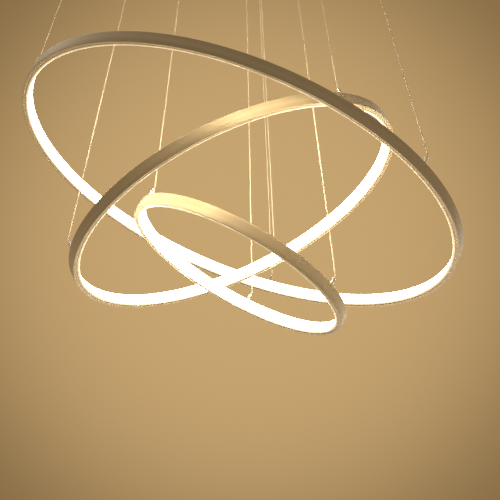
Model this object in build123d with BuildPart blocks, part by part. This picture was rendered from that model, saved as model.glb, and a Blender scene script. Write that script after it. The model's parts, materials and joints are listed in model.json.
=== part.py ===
from build123d import *
from math import cos, degrees, pi, radians, sin, tan
import os

# Pendant light of three tilted light rings, hung from one ceiling canopy by nine thin cables.
# Millimetres. +Z up, the ceiling is the plane z = 0, the canopy's axis is the Z axis,
# and the photograph was taken from the -Y side.

# ---- rings: outer diameter, height of the centre, tilt, direction of the lean, first anchor
rings = {
    "ring_1": dict(diameter=800, centre_z=-1220.0, tilt=23.1, lean=24.6, anchor_angle=82.0),
    "ring_2": dict(diameter=600, centre_z=-1266.5, tilt=26.2, lean=159.9, anchor_angle=72.0),
    "ring_3": dict(diameter=400, centre_z=-1374.0, tilt=28.9, lean=7.3, anchor_angle=87.0),
}
cables_per_ring = 3

# ---- rolled aluminium channel, open towards the middle of the ring; depths run inwards from
# the outer face, heights up and down from the middle of the channel
channel_height = 21.5
channel_depth = 8.0
back_wall = 1.4
flange_wall = 2.6
bead_depth = 5.0
shadow_step = 1.2
lip_width = 1.0
lip_rise = 0.8
outer_corner = 0.9
bead_corner = 0.4
seam_gap = 0.3
half_height = channel_height / 2
flange_inner = half_height - flange_wall

# ---- opal diffuser, a soft U that clips behind the two lips
diffuser_depth = 12.0
diffuser_wall = 1.2
diffuser_half = 10.25
diffuser_back = channel_depth + 0.05
leg_inner = 5.9
leg_end_depth = 5.0
leg_outer = 6.9
barb_reach = 7.95
diffuser_corner = 1.5

# ---- light strip
strip_width = 10.0
strip_thickness = 0.3
strip_gap = 0.02
chip_pitch = 100.0 / 3
chip_along = 3.5
chip_across = 2.8
chip_height = 0.8

# ---- bars that splice the ends of the rolled channel
splice_length = 40.0
splice_depth_range = (1.6, 3.9)
splice_height_range = (5.5, 8.1)

# ---- cable anchors on the top flange
anchor_depth = 3.2
anchor_height = 12.0
anchor_radius = 2.8
anchor_foot_radius = 3.0
anchor_foot = 2.4
anchor_waist_radius = 2.1
anchor_waist = 1.0
anchor_chamfer = 0.7
anchor_bore_radius = 1.1
anchor_bore_depth = 6.0
screw_radius = 1.25
screw_head_radius = 1.7
screw_head = 1.1
screw_engagement = 3.6
screw_clearance = 0.15

# ---- cables
cable_radius = 0.9
cable_end_run = 9.0
cable_seat = 5.0

# ---- canopy and ceiling plate
canopy_radius = 125.0
canopy_height = 55.0
canopy_wall = 1.2
canopy_edge = 7.0
rim_roll = 1.1
plate_radius = 118.0
plate_thickness = 2.0
plate_half_width = 108.0
slot_spacing = 80.0
slot_width = 5.5
slot_length = 22.0
tab_width = 18.0
tab_drop = 16.0
tab_hole_z = -10.0
side_screw_radius = 2.0
side_screw_head_radius = 5.0
side_screw_head = 5.0
supply_hole_radius = 9.0
grommet_bore_radius = 5.0
grommet_flange_radius = 11.5
grommet_flange = 1.2

# ---- cable grips: three rows of three, one row for each side of the rings
row_angle = 80.0
outlet_radii = {"ring_1": 50.0, "ring_2": 33.0, "ring_3": 16.0}
floor_z = -canopy_height
grip_neck_radius = 5.0
grip_neck_top = floor_z + 11.0
grip_flange_radius = 7.0
grip_flange = 3.0
grip_barrel_radius = 5.5
grip_bottom = floor_z - 12.0
grip_cable_hole = 1.3
chamber_radius = 4.4
chamber_top = floor_z + 4.0
cone_top = floor_z - 3.0
cone_bottom = floor_z - 9.0
plunger_bore_radius = 3.2
plunger_clearance = 0.15
plunger_travel = 2.5
plunger_nib = 1.5
plunger_bottom = grip_bottom - plunger_travel - plunger_nib
plunger_cable_hole = 1.1
collet_slit = 0.6
collet_slit_depth = 4.5
spring_inner_radius = 2.9
spring_outer_radius = 3.9
nut_across_flats = 13.5
nut_height = 3.5

# ---- inside the canopy
board_radius = 62.0
board_thickness = 6.0
board_top = -28.0
board_hole_radius = 1.2
standoff_radius = 3.0
standoff_circle = 54.0
standoff_angle = 20.0
driver_length = 112.0
driver_width = 40.0
driver_height = 23.0
driver_wall = 1.5
driver_centre_y = -88.0
driver_lid = 2.0
driver_ear = 9.0
driver_screw_head_radius = 3.0
driver_screw_head = 1.8
driver_screw_radius = 1.6
terminal_length = 46.0
terminal_width = 20.0
terminal_height = 15.0
terminal_centre_y = 88.0
terminal_poles = 3
terminal_hole_radius = 2.2
lead_radius = 1.1
mains_lead_places = (-30.0, -24.0)
output_lead_places = (24.0, 30.0)
lead_height = 10.0
lead_bend = 5.0
output_lead_end_y = -50.0

os.makedirs("parts", exist_ok=True)


def keep(builder, name):
    # Label one finished piece and write it out.
    builder.part.label = name
    export_step(builder.part, f"parts/{name}.step")


def ring_plane(ring):
    # Plane through the middle of a ring's channel; its z runs along the ring's own axis.
    tilt = radians(ring["tilt"])
    lean = radians(ring["lean"])
    axis = Vector(sin(tilt) * cos(lean), sin(tilt) * sin(lean), cos(tilt))
    across = Vector(1, 0, 0) - axis * axis.X
    centre = Vector(0, 0, ring["centre_z"]) + axis * half_height
    return Plane(origin=centre, x_dir=across, z_dir=axis)


def section_plane(plane):
    # Half plane through a ring's axis; x runs outwards, y along the ring's axis.
    return Plane(origin=plane.origin, x_dir=plane.x_dir, z_dir=plane.y_dir * -1)


def turned(plane, angle):
    # The same plane with its x turned about its own axis.
    across = plane.x_dir * cos(radians(angle)) + plane.y_dir * sin(radians(angle))
    return Plane(origin=plane.origin, x_dir=across, z_dir=plane.z_dir)


def hoop(plane, points, gap_length, radius):
    # Revolve the mirrored half outline of a rolled section, and leave its butt joint open.
    gap_angle = degrees(gap_length / radius)
    start = section_plane(turned(plane, gap_angle / 2))
    with BuildPart() as rolled:
        with BuildSketch(start) as outline:
            with BuildLine():
                Polyline(*points)
                mirror(about=Plane.XZ)
            make_face()
        revolve(axis=Axis(plane.origin, plane.z_dir), revolution_arc=360 - gap_angle)
    return rolled


def outlet_position(ring_name, index):
    # Where one cable leaves the canopy, at the mouth of its grip.
    angle = radians(row_angle + index * 360 / cables_per_ring)
    radius = outlet_radii[ring_name]
    return Vector(radius * cos(angle), radius * sin(angle), plunger_bottom)


def bend_radius(before, corner, after):
    # The largest arc that leaves a little straight cable on both sides of a corner.
    run = min((corner - before).length, (after - corner).length)
    turn = radians((corner - before).get_angle(after - corner))
    return 0.45 * run / tan(turn / 2)


def cable_route(ring, ring_name, index):
    # Five points of one cable: in the anchor, its bend, straight up to the canopy, the
    # bend under the grip, and inside the grip.
    plane = ring_plane(ring)
    angle = radians(ring["anchor_angle"] + index * 360 / cables_per_ring)
    reach = ring["diameter"] / 2 - anchor_depth
    seat_height = half_height + anchor_height - cable_seat
    seat = plane.from_local_coords(Vector(reach * cos(angle), reach * sin(angle), seat_height))
    low_bend = seat + plane.z_dir * cable_end_run
    mouth = outlet_position(ring_name, index)
    high_bend = mouth - Vector(0, 0, 4)
    along = (high_bend - low_bend).normalized()
    low_joint = low_bend + along * cable_end_run
    high_joint = high_bend - along * (cable_end_run / along.Z)
    return seat, low_bend, low_joint, high_joint, high_bend, along


# ================================================================ rings


def make_housing(name, ring, plane):
    radius = ring["diameter"] / 2
    lip_depth = channel_depth - lip_width
    lip_inner = flange_inner - lip_rise
    stepped = half_height - shadow_step
    outline = [
        (radius, 0),
        (radius, -half_height),
        (radius - bead_depth, -half_height),
        (radius - bead_depth, -stepped),
        (radius - channel_depth, -stepped),
        (radius - channel_depth, -lip_inner),
        (radius - lip_depth, -lip_inner),
        (radius - lip_depth, -flange_inner),
        (radius - back_wall, -flange_inner),
        (radius - back_wall, 0),
    ]
    gap_angle = degrees(seam_gap / radius)
    seam_plane = turned(plane, ring["anchor_angle"] + 60)
    start = section_plane(turned(seam_plane, gap_angle / 2))
    top_flange = Plane(plane.origin + plane.z_dir * half_height, plane.x_dir, plane.z_dir)
    hole_plane = turned(top_flange, ring["anchor_angle"])
    with BuildPart() as housing:
        with BuildSketch(start) as section:
            with BuildLine():
                Polyline(*outline)
                mirror(about=Plane.XZ)
            make_face()
            fillet(section.vertices().group_by(Axis.X)[-1], outer_corner)
            bead_ends = section.vertices().filter_by(
                lambda v: abs(v.X - radius + bead_depth) < 0.01 and abs(v.Y) > stepped + 0.1
            )
            fillet(bead_ends, bead_corner)
        revolve(axis=Axis(plane.origin, plane.z_dir), revolution_arc=360 - gap_angle)
        with BuildSketch(hole_plane):
            with PolarLocations(radius - anchor_depth, cables_per_ring):
                Circle(screw_radius + screw_clearance)
        extrude(amount=-flange_wall - 0.5, mode=Mode.SUBTRACT)
    keep(housing, f"{name}_housing")


def make_diffuser(name, ring, plane):
    radius = ring["diameter"] / 2
    hook_depth = channel_depth - lip_width - 0.1
    outline = [
        (radius - diffuser_depth + diffuser_wall, 0),
        (radius - diffuser_depth + diffuser_wall, -leg_inner),
        (radius - leg_end_depth, -leg_inner),
        (radius - leg_end_depth, -leg_outer),
        (radius - hook_depth + 0.9, -barb_reach),
        (radius - hook_depth, -barb_reach),
        (radius - hook_depth, -leg_outer - 0.3),
        (radius - diffuser_back, -leg_outer - 0.3),
        (radius - diffuser_back, -diffuser_half),
        (radius - diffuser_depth, -diffuser_half),
        (radius - diffuser_depth, 0),
    ]
    seam_plane = turned(plane, ring["anchor_angle"] + 60)
    gap_angle = degrees(seam_gap / radius)
    start = section_plane(turned(seam_plane, gap_angle / 2))
    with BuildPart() as diffuser:
        with BuildSketch(start) as section:
            with BuildLine():
                Polyline(*outline)
                mirror(about=Plane.XZ)
            make_face()
            corners = section.vertices().filter_by(
                lambda v: abs(v.X - radius + diffuser_depth) < 0.01 and abs(v.Y) > leg_outer
            )
            fillet(corners, diffuser_corner)
        revolve(axis=Axis(plane.origin, plane.z_dir), revolution_arc=360 - gap_angle)
    keep(diffuser, f"{name}_diffuser")


def make_light_strip(name, ring, plane):
    strip_outer = ring["diameter"] / 2 - back_wall - strip_gap
    strip_inner = strip_outer - strip_thickness
    outline = [
        (strip_outer, 0),
        (strip_outer, -strip_width / 2),
        (strip_inner, -strip_width / 2),
        (strip_inner, 0),
    ]
    seam_plane = turned(plane, ring["anchor_angle"] + 60)
    keep(hoop(seam_plane, outline, 4 * seam_gap, strip_outer), f"{name}_led_strip")

    chip_radius = strip_inner - strip_gap - chip_height / 2
    chip_count = round(2 * pi * strip_inner / chip_pitch)
    with BuildPart(turned(seam_plane, 180 / chip_count)) as chips:
        with PolarLocations(chip_radius, chip_count):
            Box(chip_height, chip_along, chip_across)
    keep(chips, f"{name}_led_chips")


def make_splice_bars(name, ring, plane):
    radius = ring["diameter"] / 2
    near, far = splice_depth_range
    low, high = splice_height_range
    spread = degrees(splice_length / radius)
    seam_plane = turned(plane, ring["anchor_angle"] + 60)
    with BuildPart() as bars:
        with BuildSketch(section_plane(turned(seam_plane, -spread / 2))):
            with Locations((radius - (near + far) / 2, 0)):
                with Locations((0, (low + high) / 2), (0, -(low + high) / 2)):
                    Rectangle(far - near, high - low)
        revolve(axis=Axis(plane.origin, plane.z_dir), revolution_arc=spread)
    keep(bars, f"{name}_splice_bars")


def make_anchors(name, ring, plane):
    reach = ring["diameter"] / 2 - anchor_depth
    foot_plane = Plane(plane.origin + plane.z_dir * half_height, plane.x_dir, plane.z_dir)
    foot_plane = turned(foot_plane, ring["anchor_angle"])
    waist_end = anchor_foot + anchor_waist
    bore_floor = anchor_height - anchor_bore_depth
    barrel_outline = [
        (screw_radius, 0),
        (anchor_foot_radius, 0),
        (anchor_foot_radius, anchor_foot),
        (anchor_waist_radius, anchor_foot),
        (anchor_waist_radius, waist_end),
        (anchor_radius, waist_end),
        (anchor_radius, anchor_height - anchor_chamfer),
        (anchor_radius - anchor_chamfer, anchor_height),
        (anchor_bore_radius, anchor_height),
        (anchor_bore_radius, bore_floor),
        (0, bore_floor),
        (0, screw_engagement),
        (screw_radius, screw_engagement),
    ]
    with BuildPart(mode=Mode.PRIVATE) as barrel:
        with BuildSketch(Plane.XZ):
            with BuildLine():
                Polyline(*barrel_outline, close=True)
            make_face()
        revolve(axis=Axis.Z)
    with BuildPart(foot_plane) as anchors:
        with PolarLocations(reach, cables_per_ring):
            add(barrel.part)
    keep(anchors, f"{name}_cable_anchors")

    head_top = -flange_wall
    screw_outline = [
        (0, head_top - screw_head),
        (screw_head_radius, head_top - screw_head),
        (screw_head_radius, head_top),
        (screw_radius, head_top),
        (screw_radius, screw_engagement - 0.2),
        (0, screw_engagement - 0.2),
    ]
    with BuildPart(mode=Mode.PRIVATE) as screw:
        with BuildSketch(Plane.XZ):
            with BuildLine():
                Polyline(*screw_outline, close=True)
            make_face()
        revolve(axis=Axis.Z)
    with BuildPart(foot_plane) as screws:
        with PolarLocations(reach, cables_per_ring):
            add(screw.part)
    keep(screws, f"{name}_anchor_screws")


def make_cables(name, ring):
    # The swaged ends bend out of the anchors; the long straight lengths start where they stop.
    section_by_length = 0
    with BuildPart() as ends:
        for index in range(cables_per_ring):
            seat, low_bend, low_joint, high_joint, high_bend, along = cable_route(
                ring, name, index
            )
            radius = bend_radius(seat, low_bend, low_joint)
            print(f"{name} cable {index + 1}: anchor bend radius {radius:.1f} mm")
            with BuildLine() as path:
                FilletPolyline(seat, low_bend, low_joint, radius=[radius])
            with BuildSketch(Plane(seat, z_dir=low_bend - seat)):
                Circle(cable_radius)
            sweep(path=path.line)
            section_by_length += pi * cable_radius**2 * path.wires()[0].length
    print(f"  ends {ends.part.volume:.2f} mm3, section x length {section_by_length:.2f} mm3")
    keep(ends, f"{name}_cable_ends")

    for index in range(cables_per_ring):
        seat, low_bend, low_joint, high_joint, high_bend, along = cable_route(
            ring, name, index
        )
        length = (high_joint - low_joint).length
        with BuildPart() as cable:
            with BuildSketch(Plane(low_joint, z_dir=along)):
                Circle(cable_radius)
            extrude(amount=length)
        print(f"{name} cable {index + 1}: straight length {length:.1f} mm")
        keep(cable, f"{name}_cable_{index + 1}")


# ================================================================ canopy


def grip_locations(names=tuple(rings)):
    # Axis points of the grips of the named rings, row by row.
    places = []
    for name in names:
        for index in range(cables_per_ring):
            mouth = outlet_position(name, index)
            places.append((mouth.X, mouth.Y))
    return places


def make_ceiling_plate():
    with BuildPart() as plate:
        with BuildSketch(Plane.XY.offset(-plate_thickness)):
            Circle(plate_radius)
            Rectangle(2.2 * plate_radius, 2 * plate_half_width, mode=Mode.INTERSECT)
            Circle(supply_hole_radius, mode=Mode.SUBTRACT)
            with GridLocations(slot_spacing, 0, 2, 1):
                SlotOverall(slot_length, slot_width, mode=Mode.SUBTRACT)
        extrude(amount=plate_thickness)
        with BuildSketch(Plane.XY.offset(-plate_thickness)):
            with PolarLocations(plate_radius + 1.5, 2):
                Rectangle(plate_thickness, tab_width)
            with PolarLocations(plate_radius - 2, 2):
                Rectangle(9, tab_width)
        extrude(amount=plate_thickness)
        with BuildSketch(Plane.XY.offset(-plate_thickness)):
            with PolarLocations(plate_radius + 1.5, 2):
                Rectangle(plate_thickness, tab_width)
        extrude(amount=-tab_drop + plate_thickness)
        outer_bends = plate.edges().filter_by(Axis.Y).group_by(Axis.Z)[-1]
        outer_bends = outer_bends.filter_by(lambda e: abs(e.center().X) > plate_radius)
        fillet(outer_bends, plate_thickness)
        with BuildSketch(Plane.YZ.offset(-2 * plate_radius)):
            with Locations((0, tab_hole_z)):
                Circle(side_screw_radius)
        extrude(amount=4 * plate_radius, mode=Mode.SUBTRACT)
        with BuildSketch(Plane.XY):
            with Locations(*driver_screw_places(), *terminal_screw_places()):
                Circle(driver_screw_radius)
            with PolarLocations(standoff_circle, 3, start_angle=standoff_angle):
                Circle(driver_screw_radius)
        extrude(amount=-plate_thickness, mode=Mode.SUBTRACT)
    keep(plate, "ceiling_plate")


def make_canopy():
    rim_z = -rim_roll
    with BuildPart() as canopy:
        with BuildSketch(Plane.XZ) as section:
            with BuildLine():
                Polyline(
                    (0, floor_z),
                    (canopy_radius, floor_z),
                    (canopy_radius, rim_z),
                    (0, rim_z),
                    close=True,
                )
            make_face()
            floor_corner = section.vertices().sort_by(Axis.X)[-2:].sort_by(Axis.Y)[0]
            fillet(floor_corner, canopy_edge)
        revolve(axis=Axis.Z)
        shell_opening = canopy.faces().sort_by(Axis.Z)[-1]
        offset(amount=-canopy_wall, openings=shell_opening)
        with BuildSketch(Plane.XZ):
            with Locations((canopy_radius - canopy_wall / 2, rim_z)):
                Circle(rim_roll)
        revolve(axis=Axis.Z)
        with BuildSketch(Plane.XY.offset(floor_z)):
            with Locations(*grip_locations()):
                Circle(grip_neck_radius + plunger_clearance)
        extrude(amount=canopy_wall, mode=Mode.SUBTRACT)
        with BuildSketch(Plane.YZ.offset(-2 * canopy_radius)):
            with Locations((0, tab_hole_z)):
                Circle(side_screw_radius + plunger_clearance)
        extrude(amount=4 * canopy_radius, mode=Mode.SUBTRACT)
    keep(canopy, "canopy_cover")


def make_side_screws():
    shank_start = plate_radius - 3.0
    with BuildPart() as screws:
        for side in (1, -1):
            seat = Plane(origin=(side * shank_start, 0, tab_hole_z), z_dir=(side, 0, 0))
            head_start = canopy_radius - shank_start + 0.05
            with BuildSketch(seat):
                Circle(side_screw_radius - 0.05)
            extrude(amount=head_start)
            with BuildSketch(seat.offset(head_start)):
                Circle(side_screw_head_radius)
            extrude(amount=side_screw_head)
        rims = screws.edges().filter_by(GeomType.CIRCLE).sort_by(SortBy.RADIUS)[-4:]
        chamfer(rims, 0.6)
    keep(screws, "canopy_side_screws")


def make_grommet():
    lip = grommet_flange_radius
    neck = supply_hole_radius - 0.05
    below = -plate_thickness - 0.02
    with BuildPart() as grommet:
        with BuildSketch(Plane.XZ):
            with BuildLine():
                Polyline(
                    (grommet_bore_radius, -plate_thickness - 5),
                    (neck - 1, -plate_thickness - 5),
                    (lip, below - grommet_flange),
                    (lip, below),
                    (neck, below),
                    (neck, 0),
                    (grommet_bore_radius, 0),
                    close=True,
                )
            make_face()
        revolve(axis=Axis.Z)
    keep(grommet, "supply_grommet")


def make_grips():
    body_outline = [
        (grip_cable_hole, grip_neck_top),
        (grip_cable_hole, chamber_top),
        (chamber_radius, chamber_top),
        (chamber_radius, cone_top),
        (plunger_bore_radius, cone_bottom),
        (plunger_bore_radius, grip_bottom),
        (grip_barrel_radius - 0.5, grip_bottom),
        (grip_barrel_radius, grip_bottom + 0.5),
        (grip_barrel_radius, floor_z - grip_flange),
        (grip_flange_radius, floor_z - grip_flange),
        (grip_flange_radius, floor_z),
        (grip_neck_radius, floor_z),
        (grip_neck_radius, grip_neck_top),
    ]
    with BuildPart(mode=Mode.PRIVATE) as body:
        with BuildSketch(Plane.XZ):
            with BuildLine():
                Polyline(*body_outline, close=True)
            make_face()
        revolve(axis=Axis.Z)
    with BuildPart() as bodies:
        with Locations(*grip_locations()):
            add(body.part)
    keep(bodies, "cable_grip_bodies")

    with BuildPart() as nuts:
        with BuildSketch(Plane.XY.offset(floor_z + canopy_wall)):
            with Locations(*grip_locations()):
                RegularPolygon(nut_across_flats / 2, 6, major_radius=False)
                Circle(grip_neck_radius, mode=Mode.SUBTRACT)
        extrude(amount=nut_height)
    keep(nuts, "cable_grip_nuts")

    stem = plunger_bore_radius - plunger_clearance
    collet = chamber_radius - plunger_clearance
    plunger_outline = [
        (plunger_cable_hole, plunger_bottom),
        (stem - 0.6, plunger_bottom),
        (stem, plunger_bottom + 0.6),
        (stem, cone_bottom),
        (collet, cone_top),
        (plunger_cable_hole, cone_top),
    ]
    for name in rings:
        for index, place in enumerate(grip_locations([name])):
            axis_plane = Plane(origin=(place[0], place[1], 0))
            with BuildPart() as plunger:
                with BuildSketch(section_plane(axis_plane)):
                    with BuildLine():
                        Polyline(*plunger_outline, close=True)
                    make_face()
                revolve(axis=Axis(axis_plane.origin, (0, 0, 1)))
                with BuildSketch(axis_plane.offset(cone_top)):
                    with PolarLocations(collet / 2 + 0.5, 3):
                        Rectangle(collet + 1, collet_slit)
                extrude(amount=-collet_slit_depth, mode=Mode.SUBTRACT)
            keep(plunger, f"{name}_release_plunger_{index + 1}")

        with BuildPart() as springs:
            with BuildSketch(Plane.XY.offset(cone_top)):
                with Locations(*grip_locations([name])):
                    Circle(spring_outer_radius)
                    Circle(spring_inner_radius, mode=Mode.SUBTRACT)
            extrude(amount=chamber_top - cone_top)
        keep(springs, f"{name}_release_springs")


def make_cable_tails():
    # Upper ends of the cables: bent under the grip, through it, and up into the terminal board.
    tail_top = board_top - 1.5
    with BuildPart() as tails:
        for name, ring in rings.items():
            for index in range(cables_per_ring):
                seat, low_bend, low_joint, high_joint, high_bend, along = cable_route(
                    ring, name, index
                )
                top = Vector(high_bend.X, high_bend.Y, tail_top)
                grip_start = high_bend + Vector(0, 0, cable_end_run)
                radius = bend_radius(high_joint, high_bend, grip_start)
                print(f"{name} cable {index + 1}: bend under the grip {radius:.1f} mm")
                with BuildLine() as path:
                    FilletPolyline(high_joint, high_bend, top, radius=[radius])
                with BuildSketch(Plane(high_joint, z_dir=along)):
                    Circle(cable_radius)
                sweep(path=path.line)
    keep(tails, "cable_tails")


def make_terminal_board():
    with BuildPart() as board:
        with BuildSketch(Plane.XY.offset(board_top)):
            Circle(board_radius)
            with Locations(*grip_locations()):
                Circle(board_hole_radius, mode=Mode.SUBTRACT)
            with Locations(*[(x, output_lead_end_y) for x in output_lead_places]):
                Circle(board_hole_radius, mode=Mode.SUBTRACT)
        extrude(amount=-board_thickness)
        rims = board.edges().filter_by(GeomType.CIRCLE).sort_by(SortBy.RADIUS)[-2:]
        chamfer(rims, 0.8)
    keep(board, "cable_terminal_board")

    with BuildPart() as standoffs:
        with BuildSketch(Plane.XY.offset(board_top)):
            with PolarLocations(standoff_circle, 3, start_angle=standoff_angle):
                Circle(standoff_radius)
        extrude(amount=-plate_thickness - board_top)
        with BuildSketch(Plane.XY.offset(-plate_thickness)):
            with PolarLocations(standoff_circle, 3, start_angle=standoff_angle):
                Circle(driver_screw_radius)
        extrude(amount=plate_thickness)
    keep(standoffs, "board_standoffs")


def driver_screw_places():
    reach = driver_length / 2 + driver_ear / 2
    return [(reach, driver_centre_y + 8), (-reach, driver_centre_y + 8)]


def terminal_screw_places():
    # Between the poles.
    reach = terminal_length / terminal_poles / 2
    return [(reach, terminal_centre_y), (-reach, terminal_centre_y)]


def make_driver():
    top = -plate_thickness
    bottom = top - driver_height
    with BuildPart() as case:
        with BuildSketch(Plane.XY.offset(bottom)):
            with Locations((0, driver_centre_y)):
                RectangleRounded(driver_length, driver_width, 3)
        extrude(amount=driver_height - driver_lid)
        opening = case.faces().sort_by(Axis.Z)[-1]
        offset(amount=-driver_wall, openings=opening)
        lead_side = Plane.XZ.offset(-(driver_centre_y + driver_width / 2))
        with BuildSketch(lead_side.offset(5)):
            for x in mains_lead_places + output_lead_places:
                with Locations((x, bottom + lead_height)):
                    Circle(lead_radius + 0.1)
        extrude(amount=-10, mode=Mode.SUBTRACT)
    keep(case, "led_driver_case")

    with BuildPart() as lid:
        with BuildSketch(Plane.XY.offset(top - driver_lid)):
            with Locations((0, driver_centre_y)):
                RectangleRounded(driver_length, driver_width, 3)
            with Locations((0, driver_centre_y + 8)):
                RectangleRounded(driver_length + 2 * driver_ear, 14, 3)
            with Locations(*driver_screw_places()):
                Circle(driver_screw_radius + 0.1, mode=Mode.SUBTRACT)
        extrude(amount=driver_lid)
    keep(lid, "led_driver_lid")

    with BuildPart() as circuit:
        with BuildSketch(Plane.XY.offset(bottom + driver_wall + 3)):
            with Locations((0, driver_centre_y)):
                Rectangle(driver_length - 2 * driver_wall - 2, driver_width - 2 * driver_wall - 2)
        extrude(amount=1.6)
        with BuildSketch(Plane.XY.offset(bottom + driver_wall + 4.6)):
            with Locations((4, driver_centre_y)):
                Rectangle(24, 22)
            with Locations((-30, driver_centre_y + 4), (36, driver_centre_y - 4)):
                Circle(6)
        extrude(amount=10)
    keep(circuit, "led_driver_circuit")


def make_mains_terminal():
    top = -plate_thickness
    pole_spacing = terminal_length / terminal_poles
    with BuildPart() as block:
        with BuildSketch(Plane.XY.offset(top)):
            with Locations((0, terminal_centre_y)):
                Rectangle(terminal_length, terminal_width)
                with GridLocations(pole_spacing, 0, terminal_poles - 1, 1):
                    Rectangle(1.2, terminal_width + 1, mode=Mode.SUBTRACT)
        extrude(amount=-terminal_height)
        with BuildSketch(Plane.XY.offset(top)):
            with Locations((0, terminal_centre_y)):
                Rectangle(terminal_length, terminal_width - 6)
        extrude(amount=-5)
        side = Plane.XZ.offset(-(terminal_centre_y - terminal_width / 2))
        with BuildSketch(side):
            with GridLocations(pole_spacing, 0, terminal_poles, 1):
                with Locations((0, top - terminal_height / 2 - 1)):
                    Circle(terminal_hole_radius)
        extrude(amount=-terminal_width, mode=Mode.SUBTRACT)
        with BuildSketch(Plane.XY.offset(top)):
            with Locations(*terminal_screw_places()):
                Circle(driver_screw_radius)
        extrude(amount=-terminal_height, mode=Mode.SUBTRACT)
    keep(block, "mains_terminal_block")



def make_internal_leads():
    # Live and neutral from the terminal block to the driver, and the driver's pair to the board.
    driver_z = -plate_thickness - driver_height + lead_height
    driver_side = driver_centre_y + driver_width / 2
    block_z = -plate_thickness - terminal_height / 2 - 1
    block_side = terminal_centre_y - terminal_width / 2
    pole_spacing = terminal_length / terminal_poles
    with BuildPart() as leads:
        for pole_x, x in zip((-pole_spacing, 0), mains_lead_places):
            with BuildLine() as path:
                FilletPolyline(
                    (pole_x, block_side + 4, block_z),
                    (pole_x, block_side - 14, block_z),
                    (x, driver_side + 14, driver_z),
                    (x, driver_side - 5, driver_z),
                    radius=[lead_bend, lead_bend],
                )
            with BuildSketch(Plane(path.line @ 0, z_dir=(0, -1, 0))):
                Circle(lead_radius)
            sweep(path=path.line)
        for x in output_lead_places:
            with BuildLine() as path:
                FilletPolyline(
                    (x, driver_side - 5, driver_z),
                    (x, output_lead_end_y, driver_z),
                    (x, output_lead_end_y, board_top - board_thickness / 2),
                    radius=[lead_bend],
                )
            with BuildSketch(Plane(path.line @ 0, z_dir=(0, 1, 0))):
                Circle(lead_radius)
            sweep(path=path.line)
    keep(leads, "internal_leads")


def make_plate_screws():
    # Screws into the ceiling plate: two through the driver's lid, two through the terminal block.
    with BuildPart() as screws:
        for places, depth in (
            (driver_screw_places(), driver_lid),
            (terminal_screw_places(), terminal_height),
        ):
            seat = Plane.XY.offset(-plate_thickness - depth)
            with BuildSketch(seat):
                with Locations(*places):
                    Circle(driver_screw_radius)
            extrude(amount=depth + plate_thickness)
            with BuildSketch(seat):
                with Locations(*places):
                    Circle(driver_screw_head_radius)
            extrude(amount=-driver_screw_head)
    keep(screws, "ceiling_plate_screws")


for ring_name, ring in rings.items():
    middle = ring_plane(ring)
    make_housing(ring_name, ring, middle)
    make_diffuser(ring_name, ring, middle)
    make_light_strip(ring_name, ring, middle)
    make_splice_bars(ring_name, ring, middle)
    make_anchors(ring_name, ring, middle)
    make_cables(ring_name, ring)

make_ceiling_plate()
make_canopy()
make_side_screws()
make_grommet()
make_grips()
make_cable_tails()
make_terminal_board()
make_driver()
make_mains_terminal()
make_internal_leads()
make_plate_screws()
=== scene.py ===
import json
import math

import bmesh
import bpy
from mathutils import Matrix, Vector


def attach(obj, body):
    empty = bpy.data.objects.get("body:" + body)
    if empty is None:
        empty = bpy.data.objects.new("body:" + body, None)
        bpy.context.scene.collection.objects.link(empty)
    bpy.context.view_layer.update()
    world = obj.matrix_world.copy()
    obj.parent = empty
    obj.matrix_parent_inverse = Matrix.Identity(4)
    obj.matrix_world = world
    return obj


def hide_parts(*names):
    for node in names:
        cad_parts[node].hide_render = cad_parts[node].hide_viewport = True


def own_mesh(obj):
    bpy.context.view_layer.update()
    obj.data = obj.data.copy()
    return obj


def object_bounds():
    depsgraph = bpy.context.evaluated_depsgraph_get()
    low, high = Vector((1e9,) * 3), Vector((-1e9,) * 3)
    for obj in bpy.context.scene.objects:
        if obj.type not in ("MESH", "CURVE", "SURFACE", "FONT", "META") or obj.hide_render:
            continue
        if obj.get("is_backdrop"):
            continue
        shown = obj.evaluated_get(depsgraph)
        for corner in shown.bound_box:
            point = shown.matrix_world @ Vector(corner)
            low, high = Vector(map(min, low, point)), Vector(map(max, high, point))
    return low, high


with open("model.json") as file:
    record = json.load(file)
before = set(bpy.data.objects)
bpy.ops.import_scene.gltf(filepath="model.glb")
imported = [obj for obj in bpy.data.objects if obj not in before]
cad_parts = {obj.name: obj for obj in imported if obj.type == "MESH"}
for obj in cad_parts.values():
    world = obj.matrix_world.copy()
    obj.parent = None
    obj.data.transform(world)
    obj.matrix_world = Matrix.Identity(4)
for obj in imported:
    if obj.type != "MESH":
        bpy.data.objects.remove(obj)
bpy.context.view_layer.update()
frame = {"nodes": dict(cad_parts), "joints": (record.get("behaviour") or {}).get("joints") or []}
nodes = frame["nodes"]
print("frame loaded:", len(nodes), "nodes")

mm = 0.001

# in mm and degrees: outer diameter, height of the centre, tilt, direction of the lean, first cable anchor
rings = {
    "ring_1": {"diameter": 800, "centre": -1220.0, "tilt": 23.1, "lean": 24.6, "anchor": 82.0},
    "ring_2": {"diameter": 600, "centre": -1266.5, "tilt": 26.2, "lean": 159.9, "anchor": 72.0},
    "ring_3": {"diameter": 400, "centre": -1374.0, "tilt": 28.9, "lean": 7.3, "anchor": 87.0},
}
halfHeight = 10.75  # of a channel, from its middle to its top flange
cablesPerRing = 3
weldDistance = 1e-7
turnedSharp = 28  # degrees; edges of turned pieces stay sharp above it


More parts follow.
